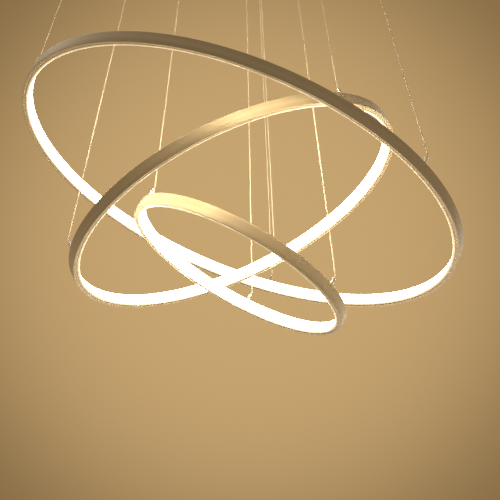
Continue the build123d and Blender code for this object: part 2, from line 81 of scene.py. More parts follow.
def ringFrame(ring, rise=0.0):
    # matrix of a ring: z along its own axis, origin in mid channel or rise above it
    tilt, lean = math.radians(ring["tilt"]), math.radians(ring["lean"])
    axis = Vector((math.sin(tilt) * math.cos(lean), math.sin(tilt) * math.sin(lean), math.cos(tilt)))
    across = (Vector((1, 0, 0)) - axis * axis.x).normalized()
    origin = Vector((0, 0, ring["centre"])) + axis * (halfHeight + rise)
    turned = Matrix((across, axis.cross(across), axis)).transposed().to_4x4()
    return Matrix.Translation(origin * mm) @ turned


def rounded(points, index, radius, steps=5):
    # the outline with one corner replaced by an arc
    before, corner, after = (Vector(points[(index + k) % len(points)]) for k in (-1, 0, 1))
    a, b = (before - corner).normalized(), (after - corner).normalized()
    half = a.angle(b) / 2
    start, end = corner + a * radius / math.tan(half), corner + b * radius / math.tan(half)
    hub = corner + (a + b).normalized() * radius / math.sin(half)
    arc = []
    for k in range(steps + 1):
        way = (start - hub).lerp(end - hub, k / steps).normalized()
        arc.append(tuple(hub + way * radius))
    return points[:index] + arc + points[index + 1:]


def newMesh(name, build, material, sharpAngle=30):
    mesh = bpy.data.meshes.new(name)
    bm = bmesh.new()
    uvLayer = bm.loops.layers.uv.new("band")
    build(bm, uvLayer)
    bmesh.ops.recalc_face_normals(bm, faces=bm.faces)
    bm.to_mesh(mesh)
    bm.free()
    for polygon in mesh.polygons:
        polygon.use_smooth = True
    mesh.set_sharp_from_angle(angle=math.radians(sharpAngle))
    piece = bpy.data.objects.new(name, mesh)
    bpy.context.scene.collection.objects.link(piece)
    mesh.materials.append(material)
    return piece


def revolveInto(bm, uvLayer, outline, place, segments=96, gap=0.0, flutes=None, second=()):
    # outline is a closed loop of (radius, height) in mm and gap an open angle. flutes maps an outline
    # index to a depth, and the outline's runs listed in second take the mesh's second material
    lengths = [0.0]
    for k in range(len(outline)):
        run = Vector(outline[(k + 1) % len(outline)]) - Vector(outline[k])
        lengths.append(lengths[-1] + run.length)
    closed = gap == 0
    count = segments if closed else segments + 1
    columns = []
    for s in range(count):
        angle = gap / 2 + (2 * math.pi - gap) * s / segments
        column = []
        for k, (radius, height) in enumerate(outline):
            if flutes and k in flutes and s % 2:
                radius -= flutes[k]
            point = Vector((radius * math.cos(angle), radius * math.sin(angle), height)) * mm
            column.append(bm.verts.new(place @ point))
        columns.append(column)
    reach = max(r for r, h in outline)
    for s in range(segments):
        a, b = columns[s], columns[(s + 1) % count]
        for k in range(len(outline)):
            n = (k + 1) % len(outline)
            corners = [(a[k], s, k), (b[k], s + 1, k), (b[n], s + 1, k + 1), (a[n], s, k + 1)]
            seen, kept = set(), []
            for vert, column, row in corners:
                key = tuple(round(c, 9) for c in vert.co)
                if key not in seen:
                    seen.add(key)
                    kept.append((vert, column, row))
            if len(kept) < 3:
                continue
            face = bm.faces.new([c[0] for c in kept])
            face.material_index = 1 if k in second else 0
            for loop, (vert, column, row) in zip(face.loops, kept):
                along = reach * (2 * math.pi - gap) * column / segments
                loop[uvLayer].uv = (along * mm, lengths[row] * mm)
    if not closed:
        bm.faces.new(columns[0])
        bm.faces.new(list(reversed(columns[-1])))
    bmesh.ops.remove_doubles(bm, verts=bm.verts, dist=weldDistance)


def tubeInto(bm, uvLayer, points, radius, sides=12):
    # a round tube through points in metres; u goes around it and v runs along it
    rows, run, lastAcross = [], 0.0, None
    runs = [0.0]
    for k in range(1, len(points)):
        run += (points[k] - points[k - 1]).length
        runs.append(run)
    for k, point in enumerate(points):
        ahead = points[min(k + 1, len(points) - 1)] - points[max(k - 1, 0)]
        ahead.normalize()
        across = lastAcross or Vector((1, 0, 0)) if abs(ahead.x) < 0.9 else Vector((0, 1, 0))
        across = (across - ahead * across.dot(ahead)).normalized()
        lastAcross = across
        up = ahead.cross(across)
        row = []
        for s in range(sides):
            angle = 2 * math.pi * s / sides
            row.append(bm.verts.new(point + (across * math.cos(angle) + up * math.sin(angle)) * radius))
        rows.append(row)
    for k in range(len(rows) - 1):
        for s in range(sides):
            n = (s + 1) % sides
            face = bm.faces.new((rows[k][s], rows[k][n], rows[k + 1][n], rows[k + 1][s]))
            spots = ((s, k), (s + 1, k), (s + 1, k + 1), (s, k + 1))
            for loop, (column, row) in zip(face.loops, spots):
                loop[uvLayer].uv = (column / sides, runs[row])
    bm.faces.new(list(reversed(rows[0])))
    bm.faces.new(rows[-1])


def newGroup(name, inputs, outputs):
    group = bpy.data.node_groups.new(name, "ShaderNodeTree")
    for label, kind, value in inputs:
        socket = group.interface.new_socket(label, in_out="INPUT", socket_type=kind)
        if value is not None:
            socket.default_value = value
    for label, kind in outputs:
        group.interface.new_socket(label, in_out="OUTPUT", socket_type=kind)
    return group, group.nodes.new("NodeGroupInput"), group.nodes.new("NodeGroupOutput")


def addMath(tree, operation, a, b=None, clamp=False):
    node = tree.nodes.new("ShaderNodeMath")
    node.operation = operation
    node.use_clamp = clamp
    for socket, value in zip(node.inputs, (a, b)):
        if value is None:
            continue
        if isinstance(value, (int, float)):
            socket.default_value = value
        else:
            tree.links.new(value, socket)
    return node.outputs[0]


def addNoise(tree, vector, scale, detail=3.0, rough=0.5):
    node = tree.nodes.new("ShaderNodeTexNoise")
    tree.links.new(vector, node.inputs["Vector"])
    if isinstance(scale, (int, float)):
        node.inputs["Scale"].default_value = scale
    else:
        tree.links.new(scale, node.inputs["Scale"])
    node.inputs["Detail"].default_value = detail
    node.inputs["Roughness"].default_value = rough
    return node.outputs["Fac"]


def addMix(tree, factor, a, b):
    node = tree.nodes.new("ShaderNodeMix")
    node.data_type = "RGBA"
    for socket, value in ((node.inputs[0], factor), (node.inputs[6], a), (node.inputs[7], b)):
        if isinstance(value, (int, float)):
            socket.default_value = value
        elif isinstance(value, tuple):
            socket.default_value = (*value, 1.0)
        else:
            tree.links.new(value, socket)
    return node.outputs[2]


streakShare = 0.22  # the wide streaks' scale, as a share of the fine grain's


def makeBandGrain():
    # brushed streaks that follow the rolled channel, from its unwrapped band
    group, enter, leave = newGroup(
        "bandGrain",
        [("Along", "NodeSocketFloat", 30.0), ("Across", "NodeSocketFloat", 1500.0)],
        [("Grain", "NodeSocketFloat"), ("Streak", "NodeSocketFloat")],
    )
    uv = group.nodes.new("ShaderNodeUVMap")
    uv.uv_map = "band"
    parts = group.nodes.new("ShaderNodeSeparateXYZ")
    group.links.new(uv.outputs["UV"], parts.inputs[0])
    for label, shrink in (("Grain", 1.0), ("Streak", streakShare)):
        along = addMath(group, "MULTIPLY", parts.outputs["X"], enter.outputs["Along"])
        across = addMath(group, "MULTIPLY", parts.outputs["Y"], enter.outputs["Across"])
        joined = group.nodes.new("ShaderNodeCombineXYZ")
        group.links.new(addMath(group, "MULTIPLY", along, shrink), joined.inputs[0])
        group.links.new(addMath(group, "MULTIPLY", across, shrink), joined.inputs[1])
        group.links.new(addNoise(group, joined.outputs[0], 1.0, 2.0, 0.5), leave.inputs[label])
    return group


def makeMottle():
    # cloudy variation and a finer speckle, for cast, painted and moulded surfaces
    group, enter, leave = newGroup(
        "mottle",
        [("Cloud Scale", "NodeSocketFloat", 12.0), ("Speckle Scale", "NodeSocketFloat", 900.0)],
        [("Cloud", "NodeSocketFloat"), ("Speckle", "NodeSocketFloat")],
    )
    place = group.nodes.new("ShaderNodeTexCoord")
    for label in ("Cloud", "Speckle"):
        size = enter.outputs[f"{label} Scale"]
        group.links.new(addNoise(group, place.outputs["Object"], size, 3.0), leave.inputs[label])
    return group


def makeStrandLay():
    # helical strands of a wire rope seen through its sheath
    group, enter, leave = newGroup(
        "strandLay",
        [("Strands", "NodeSocketFloat", 6.0), ("Turns per Metre", "NodeSocketFloat", 90.0)],
        [("Ridge", "NodeSocketFloat")],
    )
    uv = group.nodes.new("ShaderNodeUVMap")
    uv.uv_map = "band"
    parts = group.nodes.new("ShaderNodeSeparateXYZ")
    group.links.new(uv.outputs["UV"], parts.inputs[0])
    turn = addMath(group, "MULTIPLY", parts.outputs["Y"], enter.outputs["Turns per Metre"])
    phase = addMath(group, "ADD", parts.outputs["X"], turn)
    angle = addMath(group, "MULTIPLY", phase, enter.outputs["Strands"])
    wave = addMath(group, "SINE", addMath(group, "MULTIPLY", angle, 2 * math.pi))
    group.links.new(addMath(group, "ABSOLUTE", wave), leave.inputs["Ridge"])
    return group


def makeChipGlow():
    # faint bright spots over the LED chips, and the falloff towards the diffuser's shoulders
    group, enter, leave = newGroup(
        "chipGlow",
        [("Pitch", "NodeSocketFloat", 0.0333), ("Middle", "NodeSocketFloat", 0.02),
         ("Around", "NodeSocketFloat", 0.03), ("Reach", "NodeSocketFloat", 0.012)],
        [("Spot", "NodeSocketFloat"), ("Centre", "NodeSocketFloat")],
    )
    uv = group.nodes.new("ShaderNodeUVMap")
    uv.uv_map = "band"
    parts = group.nodes.new("ShaderNodeSeparateXYZ")
    group.links.new(uv.outputs["UV"], parts.inputs[0])
    phase = addMath(group, "DIVIDE", parts.outputs["X"], enter.outputs["Pitch"])
    wave = addMath(group, "COSINE", addMath(group, "MULTIPLY", phase, 2 * math.pi))
    group.links.new(addMath(group, "MULTIPLY_ADD", wave, 0.5), leave.inputs["Spot"])
    offset = addMath(group, "SUBTRACT", parts.outputs["Y"], enter.outputs["Middle"])
    before = addMath(group, "ABSOLUTE", offset)
    half = addMath(group, "SUBTRACT", enter.outputs["Around"], enter.outputs["Middle"])
    after = addMath(group, "ADD", parts.outputs["Y"], half)
    away = addMath(group, "MINIMUM", before, after)
    share = addMath(group, "DIVIDE", away, enter.outputs["Reach"])
    group.links.new(addMath(group, "SUBTRACT", 1.0, share, clamp=True), leave.inputs["Centre"])
    return group


bandGrain = makeBandGrain()
mottle = makeMottle()
strandLay = makeStrandLay()
chipGlow = makeChipGlow()
print("shader groups ready")


def startMaterial(name, group, groupValues, metallic=0.0, ior=1.5, coat=0.0):
    material = bpy.data.materials.new(name)
    material.use_nodes = True
    tree = material.node_tree
    shader = tree.nodes["Principled BSDF"]
    shader.inputs["Metallic"].default_value = metallic
    shader.inputs["IOR"].default_value = ior
    shader.inputs["Coat Weight"].default_value = coat
    effect = tree.nodes.new("ShaderNodeGroup")
    effect.node_tree = group
    for label, value in groupValues.items():
        effect.inputs[label].default_value = value
    return material, tree, shader, effect


noiseBand = (0.3, 0.7)  # nearly all noise values lie in here


def spread(tree, value, low, high):
    node = tree.nodes.new("ShaderNodeMapRange")
    tree.links.new(value, node.inputs["Value"])
    node.inputs["From Min"].default_value = noiseBand[0]
    node.inputs["From Max"].default_value = noiseBand[1]
    node.inputs["To Min"].default_value = low
    node.inputs["To Max"].default_value = high
    return node.outputs["Result"]


def addBump(tree, shader, height, distance, strength=1.0):
    bump = tree.nodes.new("ShaderNodeBump")
    bump.inputs["Distance"].default_value = distance
    bump.inputs["Strength"].default_value = strength
    tree.links.new(height, bump.inputs["Height"])
    tree.links.new(bump.outputs["Normal"], shader.inputs["Normal"])


def mottledMaterial(name, look):
    # look: two colours, roughness range, metallic, cloud and speckle scales, bump distance
    values = {"Cloud Scale": look["cloud"], "Speckle Scale": look["speckle"]}
    material, tree, shader, effect = startMaterial(
        name, mottle, values, look.get("metallic", 0.0), look.get("ior", 1.5), look.get("coat", 0.0)
    )
    blend = spread(tree, effect.outputs["Cloud"], 0.0, 1.0)
    tree.links.new(addMix(tree, blend, look["colour"], look["colour2"]), shader.inputs["Base Color"])
    rough = spread(tree, effect.outputs["Speckle"], *look["rough"])
    tree.links.new(rough, shader.inputs["Roughness"])
    addBump(tree, shader, effect.outputs["Speckle"], look["bump"])
    return material


ringMetalLook = {
    "colour": (0.425, 0.318, 0.182),
    "colour2": (0.510, 0.392, 0.235),
    "metallic": 0.22,
    "specular": 0.3,
    "rough": (0.42, 0.50),
    "bump": 0.000002,
    "grainAlong": 9.0,
    "grainAcross": 620.0,
}


def makeRingMetal():
    look = ringMetalLook
    values = {"Along": look["grainAlong"], "Across": look["grainAcross"]}
    material, tree, shader, effect = startMaterial("ringMetal", bandGrain, values, look["metallic"])
    shader.inputs["Specular IOR Level"].default_value = look["specular"]
    streak = spread(tree, effect.outputs["Streak"], 0.0, 1.0)
    tree.links.new(addMix(tree, streak, look["colour"], look["colour2"]), shader.inputs["Base Color"])
    tree.links.new(spread(tree, effect.outputs["Grain"], *look["rough"]), shader.inputs["Roughness"])
    addBump(tree, shader, effect.outputs["Grain"], look["bump"])
    return material


diffuserLook = {
    "colour": (0.93, 0.87, 0.76),
    # painted light and shade: the opal's own colour turns warmer and darker at the shoulders, for the lamp's
    # warm light seen through them
    "shoulderPaintedTint": (0.86, 0.74, 0.54),
    "glowShoulder": (0.0070, 0.0052, 0.0023),
    "glowCorner": (0.048, 0.034, 0.014),
    "glowFace": (1.0, 0.92, 0.72),
    "stops": (0.10, 0.23, 0.34),  # where the three glows begin, from the shoulders to the lit face
    "strength": 24.0,
    "reach": 12.8,  # mm from the middle of the face to where the glow ends
    "chipPitch": 0.0333,
    "betweenChips": (0.90, 0.86, 0.80),
    "rough": 0.38,
    "haze": 1400.0,
    "bump": 0.00001,
    "bumpStrength": 0.5,
}


def makeOpal(name, middle, around):
    # the face over the chips glows, its rounded corners fade and the shoulders only pass stray light
    look = diffuserLook
    values = {"Pitch": look["chipPitch"], "Middle": middle, "Around": around, "Reach": look["reach"] * mm}
    material, tree, shader, effect = startMaterial(name, chipGlow, values)
    shader.inputs["Roughness"].default_value = look["rough"]
    shader.inputs["Emission Strength"].default_value = look["strength"]
    ramp = tree.nodes.new("ShaderNodeValToRGB")
    ramp.color_ramp.interpolation = "EASE"
    glows = (look["glowShoulder"], look["glowCorner"], look["glowFace"])
    ramp.color_ramp.elements.new(0.5)  # the third stop, besides the ramp's own two
    for stop, place, colour in zip(ramp.color_ramp.elements, look["stops"], glows):
        stop.position = place
        stop.color = (*colour, 1.0)
    tree.links.new(effect.outputs["Centre"], ramp.inputs["Fac"])
    spot = spread(tree, effect.outputs["Spot"], 0.0, 1.0)
    glow = addMix(tree, 1.0, ramp.outputs["Color"], addMix(tree, spot, look["betweenChips"], (1.0, 1.0, 1.0)))
    glow.node.blend_type = "MULTIPLY"
    tree.links.new(glow, shader.inputs["Emission Color"])
    # painted light and shade: base colour drawn warmer and darker towards the shoulders, following the glow
    # mask
    base = addMix(tree, effect.outputs["Centre"], look["shoulderPaintedTint"], look["colour"])
    tree.links.new(base, shader.inputs["Base Color"])
    place = tree.nodes.new("ShaderNodeTexCoord")
    haze = addNoise(tree, place.outputs["Object"], look["haze"], 2.0)
    addBump(tree, shader, haze, look["bump"], look["bumpStrength"])
    return material


cableLook = {
    "colour": (0.66, 0.52, 0.33), "colour2": (0.78, 0.64, 0.44), "rough": 0.42, "roughDrop": -0.12,
    "bump": 0.000004, "coat": 0.2, "strands": 3.0, "turns": 70.0,
}


def makeCableSheath():
    look = cableLook
    values = {"Strands": look["strands"], "Turns per Metre": look["turns"]}
    material, tree, shader, effect = startMaterial("cableSheath", strandLay, values, coat=look["coat"])
    ridge = effect.outputs["Ridge"]
    tree.links.new(addMix(tree, ridge, look["colour"], look["colour2"]), shader.inputs["Base Color"])
    rough = addMath(tree, "MULTIPLY_ADD", ridge, look["roughDrop"])
    rough.node.inputs[2].default_value = look["rough"]
    tree.links.new(rough, shader.inputs["Roughness"])
    addBump(tree, shader, ridge, look["bump"])
    return material


finishes = {
    "cableEnd": {"colour": (0.62, 0.49, 0.31), "colour2": (0.70, 0.57, 0.37), "rough": (0.34, 0.44),
                 "cloud": 60.0, "speckle": 1500.0, "bump": 0.00001, "coat": 0.2},
    "polishedNickel": {"colour": (0.66, 0.62, 0.56), "colour2": (0.74, 0.70, 0.64), "rough": (0.10, 0.20),
                       "cloud": 90.0, "speckle": 2200.0, "bump": 0.000005, "metallic": 1.0},
    "zincPlate": {"colour": (0.36, 0.37, 0.38), "colour2": (0.47, 0.48, 0.48), "rough": (0.42, 0.58),
                  "cloud": 70.0, "speckle": 650.0, "bump": 0.00002, "metallic": 0.9},
    "zincScrew": {"colour": (0.58, 0.58, 0.57), "colour2": (0.70, 0.70, 0.68), "rough": (0.22, 0.38),
                  "cloud": 160.0, "speckle": 1800.0, "bump": 0.00001, "metallic": 1.0},
    "millAluminium": {"colour": (0.66, 0.66, 0.67), "colour2": (0.76, 0.76, 0.77), "rough": (0.30, 0.46),
                      "cloud": 90.0, "speckle": 1200.0, "bump": 0.00001, "metallic": 1.0},
    "springWire": {"colour": (0.36, 0.36, 0.37), "colour2": (0.48, 0.48, 0.49), "rough": (0.20, 0.34),
                   "cloud": 300.0, "speckle": 2400.0, "bump": 0.00001, "metallic": 1.0},
    "canopyPaint": {"colour": (0.40, 0.285, 0.155), "colour2": (0.45, 0.33, 0.19), "rough": (0.34, 0.46),
                    "cloud": 9.0, "speckle": 1100.0, "bump": 0.00002, "metallic": 0.35, "coat": 0.15},
    "stripBoard": {"colour": (0.84, 0.83, 0.79), "colour2": (0.90, 0.89, 0.85), "rough": (0.34, 0.46),
                   "cloud": 60.0, "speckle": 1500.0, "bump": 0.00001},
    "whiteNylon": {"colour": (0.74, 0.74, 0.70), "colour2": (0.80, 0.80, 0.76), "rough": (0.42, 0.56),
                   "cloud": 35.0, "speckle": 900.0, "bump": 0.00003},
    "driverPlastic": {"colour": (0.70, 0.70, 0.68), "colour2": (0.76, 0.76, 0.73), "rough": (0.46, 0.62),
                      "cloud": 25.0, "speckle": 1400.0, "bump": 0.00006},
    "circuitBoard": {"colour": (0.03, 0.16, 0.06), "colour2": (0.06, 0.24, 0.10), "rough": (0.30, 0.46),
                     "cloud": 220.0, "speckle": 1200.0, "bump": 0.00005, "coat": 0.3},
    "leadSheath": {"colour": (0.26, 0.12, 0.05), "colour2": (0.32, 0.16, 0.08), "rough": (0.34, 0.46),
                   "cloud": 80.0, "speckle": 1500.0, "bump": 0.00002, "coat": 0.2},
    "blackRubber": {"colour": (0.022, 0.022, 0.022), "colour2": (0.034, 0.033, 0.032), "rough": (0.62, 0.78),
                    "cloud": 60.0, "speckle": 1100.0, "bump": 0.00005},
}
materials = {name: mottledMaterial(name, look) for name, look in finishes.items()}
ringMetal = makeRingMetal()
cableSheath = makeCableSheath()


phosphorLook = {
    "colour": (0.80, 0.52, 0.12), "colour2": (0.90, 0.66, 0.22), "cloud": 300.0, "glow": 2.0, "rough": 0.3,
}


def makePhosphor():
    look = phosphorLook
    material, tree, shader, effect = startMaterial("phosphor", mottle, {"Cloud Scale": look["cloud"]})
    blend = spread(tree, effect.outputs["Cloud"], 0.0, 1.0)
    base = addMix(tree, blend, look["colour"], look["colour2"])
    tree.links.new(base, shader.inputs["Base Color"])
    tree.links.new(base, shader.inputs["Emission Color"])
    shader.inputs["Emission Strength"].default_value = look["glow"]
    shader.inputs["Roughness"].default_value = look["rough"]
    return material


phosphor = makePhosphor()
print("materials ready:", len(bpy.data.materials))


channel = {
    "height": 21.5, "depth": 8.0, "backWall": 1.4, "flange": 2.6, "bead": 5.0, "shadowStep": 1.2,
    "lipWidth": 1.0, "lipRise": 0.8, "outerCorner": 0.9, "beadCorner": 0.4, "seamGap": 0.3,
    "seamTurn": 60, "segments": 384,
}
diffuser = {
    "depth": 12.0, "wall": 1.2, "half": 10.25, "backGap": 0.05, "corner": 1.5, "cornerSteps": 6,
    "legInner": 5.9, "legOuter": 6.9, "legEnd": 5.0, "legRelief": 0.3, "hookGap": 0.1, "barb": 7.95,
    "barbWidth": 0.9, "litCorner": 0.7, "segments": 384,
}


def channelOutline(radius):
    half, step = channel["height"] / 2, channel["height"] / 2 - channel["shadowStep"]
    flangeInner = half - channel["flange"]
    lipInner, lipDepth = flangeInner - channel["lipRise"], channel["depth"] - channel["lipWidth"]
    side = [
        (radius, half), (radius - channel["bead"], half), (radius - channel["bead"], step),
        (radius - channel["depth"], step), (radius - channel["depth"], lipInner),
        (radius - lipDepth, lipInner), (radius - lipDepth, flangeInner),
        (radius - channel["backWall"], flangeInner),
    ]
    outline = side + [(r, -h) for r, h in reversed(side)]
    for index, radiusHere in ((15, channel["outerCorner"]), (14, channel["beadCorner"]),
                              (1, channel["beadCorner"]), (0, channel["outerCorner"])):
        outline = rounded(outline, index, radiusHere)
    return outline


def diffuserOutline(radius):
    d = diffuser
    hook = channel["depth"] - channel["lipWidth"] - d["hookGap"]
    back, relief = channel["depth"] + d["backGap"], d["legOuter"] + d["legRelief"]
    side = [
        (radius - d["depth"], d["half"]), (radius - back, d["half"]), (radius - back, relief),
        (radius - hook, relief), (radius - hook, d["barb"]), (radius - hook + d["barbWidth"], d["barb"]),
        (radius - d["legEnd"], d["legOuter"]), (radius - d["legEnd"], d["legInner"]),
        (radius - d["depth"] + d["wall"], d["legInner"]),
    ]
    outline = side + [(r, -h) for r, h in reversed(side)]
    for index in (len(outline) - 1, 0):
        outline = rounded(outline, index, d["corner"], d["cornerSteps"])
    return outline


def litFace(outline):
    # distance along the outline to the middle of the lit face, which closes the loop,
    # and the runs that lie further than its corners from there
    runs = [(Vector(b) - Vector(a)).length for a, b in zip(outline, outline[1:] + outline[:1])]
    middle = sum(runs[:-1]) + runs[-1] / 2
    around, place, dim = middle + runs[-1] / 2, 0.0, []
    lit = diffuser["half"] - diffuser["corner"] + diffuser["litCorner"] * diffuser["corner"]
    for k, run in enumerate(runs[:-1]):
        near = min(abs(place + run / 2 - middle), place + run / 2 + runs[-1] / 2)
        if near > lit:
            dim.append(k)
        place += run
    return middle, around, dim


def seamFrame(ring):
    # the butt joint lies midway between two anchors
    turn = math.radians(ring["anchor"] + channel["seamTurn"])
    return ringFrame(ring) @ Matrix.Rotation(turn, 4, "Z")


opalFace = opalEdge = None
for ringName, ring in rings.items():
    radius = ring["diameter"] / 2
    outline = channelOutline(radius)
    gap = channel["seamGap"] / radius

    def buildChannel(bm, uvLayer):
        revolveInto(bm, uvLayer, outline, seamFrame(ring), channel["segments"], gap)

    piece = newMesh(f"{ringName}_channel", buildChannel, ringMetal)
    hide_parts(f"{ringName}_housing")
    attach(piece, ringName)

    glow = diffuserOutline(radius)
    middle, around, dim = litFace(glow)
    if opalFace is None:
        opalFace = makeOpal("opalFace", middle * mm, around * mm)
        opalEdge = makeOpal("opalEdge", middle * mm, around * mm)
        opalEdge.cycles.emission_sampling = "NONE"  # its glow is too faint to light anything

    def buildDiffuser(bm, uvLayer):
        revolveInto(bm, uvLayer, glow, seamFrame(ring), diffuser["segments"], gap, second=dim)

    piece = newMesh(f"{ringName}_opal", buildDiffuser, opalFace)
    piece.data.materials.append(opalEdge)
    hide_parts(f"{ringName}_diffuser")
    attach(piece, ringName)
print("rings built")


anchor = {
    "depth": 3.2, "height": 12.0, "radius": 2.8, "footRadius": 3.0, "foot": 2.4, "waistRadius": 2.1,
    "waist": 1.0, "chamfer": 0.7, "edge": 0.25, "groove": 3.2, "grooveDepth": 0.35, "bore": 1.1,
    "boreDepth": 6.0, "flute": 0.12, "flutedPoints": (9, 10), "segments": 56,
}


def anchorOutline():
    a = anchor
    top, low, edge = a["height"], a["foot"] + a["waist"], a["edge"]
    groove, grooveRadius = top - a["groove"], a["radius"] - a["grooveDepth"]
    return [
        (0, 0), (a["footRadius"] - 0.2, 0), (a["footRadius"], edge), (a["footRadius"], a["foot"] - edge),
        (a["footRadius"] - edge, a["foot"]), (a["waistRadius"], a["foot"]), (a["waistRadius"], low),
        (a["radius"] - edge, low), (a["radius"], low + 0.3), (a["radius"], low + 0.8),
        (a["radius"], groove - 0.4), (a["radius"], groove), (grooveRadius, groove + 0.2),
        (grooveRadius, groove + 0.7), (a["radius"], groove + 0.9), (a["radius"], top - a["chamfer"]),
        (a["radius"] - a["chamfer"], top), (a["bore"], top), (a["bore"], top - a["boreDepth"]),
        (0, top - a["boreDepth"]),
    ]


for ringName, ring in rings.items():
    reach = (ring["diameter"] / 2 - anchor["depth"]) * mm

    def buildAnchors(bm, uvLayer):
        for index in range(cablesPerRing):
            turn = Matrix.Rotation(math.radians(ring["anchor"] + index * 120), 4, "Z")
            place = ringFrame(ring, halfHeight) @ turn @ Matrix.Translation((reach, 0, 0))
            flutes = dict.fromkeys(anchor["flutedPoints"], anchor["flute"])
            revolveInto(bm, uvLayer, anchorOutline(), place, anchor["segments"], flutes=flutes)

    piece = newMesh(f"{ringName}_anchors", buildAnchors, materials["polishedNickel"], turnedSharp)
    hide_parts(f"{ringName}_cable_anchors")
    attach(piece, ringName)
print("anchors built")


cable = {"radius": 0.9, "endRun": 9.0, "seat": 5.0, "lengths": 8, "sides": 14, "endGap": 0.03}
# the grips stand in three rows under the canopy: first row's direction, each ring's distance from the middle
outlets = {"row": 80.0, "ring_1": 50.0, "ring_2": 33.0, "ring_3": 16.0, "mouthZ": -71.0, "bendRun": 4}


def cableEnds(ringName, ring, index, rise):
    # where the straight length of one cable starts and stops, in mm. Its lower end stays clear of the bend
    # when the raised cable is drawn shorter, which tips that end
    place = ringFrame(ring, halfHeight)
    axis = (place.to_3x3() @ Vector((0, 0, 1))).normalized()
    angle = math.radians(ring["anchor"] + index * 120)
    reach = ring["diameter"] / 2 - anchor["depth"]
    foot = Vector((reach * math.cos(angle), reach * math.sin(angle), 0)) * mm
    seat = (place @ foot) / mm + axis * (anchor["height"] - cable["seat"])
    lowBend = seat + axis * cable["endRun"]
    turn = math.radians(outlets["row"] + index * 120)
    spot = outlets[ringName]
    highBend = Vector((spot * math.cos(turn), spot * math.sin(turn), outlets["mouthZ"] - outlets["bendRun"]))
    along = (highBend - lowBend).normalized()
    slope = math.hypot(along.x, along.y) / along.z
    gap = cable["endGap"] + cable["radius"] * slope * rise / (highBend.z - lowBend.z)
    return lowBend + along * (cable["endRun"] + gap), highBend - along * (cable["endRun"] / along.z)


travels = {j["name"]: j["range_m"][1] for j in frame["joints"]}
for ringName, ring in rings.items():
    rise = travels[f"{ringName}_height"]
    for index in range(cablesPerRing):
        low, high = cableEnds(ringName, ring, index, rise / mm)
        low, high = low * mm, high * mm

        def buildCable(bm, uvLayer):
            points = [low.lerp(high, k / cable["lengths"]) for k in range(cable["lengths"] + 1)]
            tubeInto(bm, uvLayer, points, cable["radius"] * mm, cable["sides"])

        piece = newMesh(f"{ringName}_wire_{index + 1}", buildCable, cableSheath)
        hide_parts(f"{ringName}_cable_{index + 1}")
        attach(piece, "canopy")
        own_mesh(piece)
print("cables built")


canopy = {
    "radius": 125.0, "height": 55.0, "wall": 1.2, "edge": 7.0, "roll": 1.1, "rollFrom": -35, "rollTurn": 250,
    "rollSteps": 12, "segments": 160,
}


def canopyOutline():
    c = canopy
    floor, rim = -c["height"], -c["roll"]
    outline = [(0, floor), (c["radius"], floor)]
    outline = rounded(outline + [(c["radius"], rim)], 1, c["edge"], 10)[:-1]
    middle = c["radius"] - c["wall"] / 2
    for k in range(c["rollSteps"] + 1):
        angle = math.radians(c["rollFrom"] + c["rollTurn"] * k / c["rollSteps"])
        outline.append((middle + c["roll"] * math.cos(angle), rim + c["roll"] * math.sin(angle)))
    inside, ledge = c["radius"] - c["wall"], floor + c["wall"]
    inner = [(inside, rim), (inside, ledge), (0, ledge)]
    return outline + rounded(inner, 1, c["edge"] - c["wall"], 8)[1:]


def buildCanopy(bm, uvLayer):
    revolveInto(bm, uvLayer, canopyOutline(), Matrix.Identity(4), canopy["segments"])


piece = newMesh("canopy_shell", buildCanopy, materials["canopyPaint"])
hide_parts("canopy_cover")
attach(piece, "canopy")

thumb = {
    "start": 115.0, "shank": 1.95, "seat": 125.05, "head": 5.0, "headRadius": 5.0, "collarRadius": 3.6,
    "z": -10.0, "flute": 0.3, "flutedPoints": (6, 7), "segments": 64,
}


def buildThumbScrews(bm, uvLayer):
    t = thumb
    end = t["seat"] + t["head"]
    outline = [
        (0, t["start"]), (t["shank"], t["start"]), (t["shank"], t["seat"]), (t["collarRadius"], t["seat"]),
        (t["collarRadius"], t["seat"] + 0.8), (t["headRadius"], t["seat"] + 1.2),
        (t["headRadius"], t["seat"] + 1.5), (t["headRadius"], end - 0.9), (t["headRadius"], end - 0.6),
        (t["headRadius"] - 0.6, end), (t["headRadius"] - 2.0, end), (t["headRadius"] - 2.3, end - 0.4),
        (0, end - 0.4),
    ]
    for side in (0, math.pi):
        lay = Matrix.Rotation(math.pi / 2, 4, "Y")
        place = Matrix.Rotation(side, 4, "Z") @ Matrix.Translation((0, 0, t["z"] * mm)) @ lay
        flutes = dict.fromkeys(t["flutedPoints"], t["flute"])
        revolveInto(bm, uvLayer, outline, place, t["segments"], flutes=flutes)


piece = newMesh("canopy_thumb_screws", buildThumbScrews, materials["polishedNickel"], turnedSharp)
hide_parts("canopy_side_screws")
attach(piece, "canopy")


grip = {
    "neck": 5.0, "neckTop": -44.0, "flange": 7.0, "flangeHeight": 3.0, "barrel": 5.5, "bottom": -67.0,
    "hole": 1.3, "chamber": 4.4, "chamberTop": -51.0, "coneTop": -58.0, "coneBottom": -64.0,
    "plungerBore": 3.2, "clearance": 0.15, "plungerBottom": -71.0, "plungerHole": 1.1, "flute": 0.18,
    "flutedPoints": (12, 13), "ring": 0.35, "flangeGap": 0.02, "segments": 60, "plungerSegments": 48,
    "wire": 0.42, "coilRadius": 3.4, "coils": 5, "coilSteps": 28, "wireSides": 8,
}


def gripSpot(ringName, index):
    angle = math.radians(outlets["row"] + index * 120)
    spot = outlets[ringName]
    return Matrix.Translation(Vector((spot * math.cos(angle), spot * math.sin(angle), 0)) * mm)


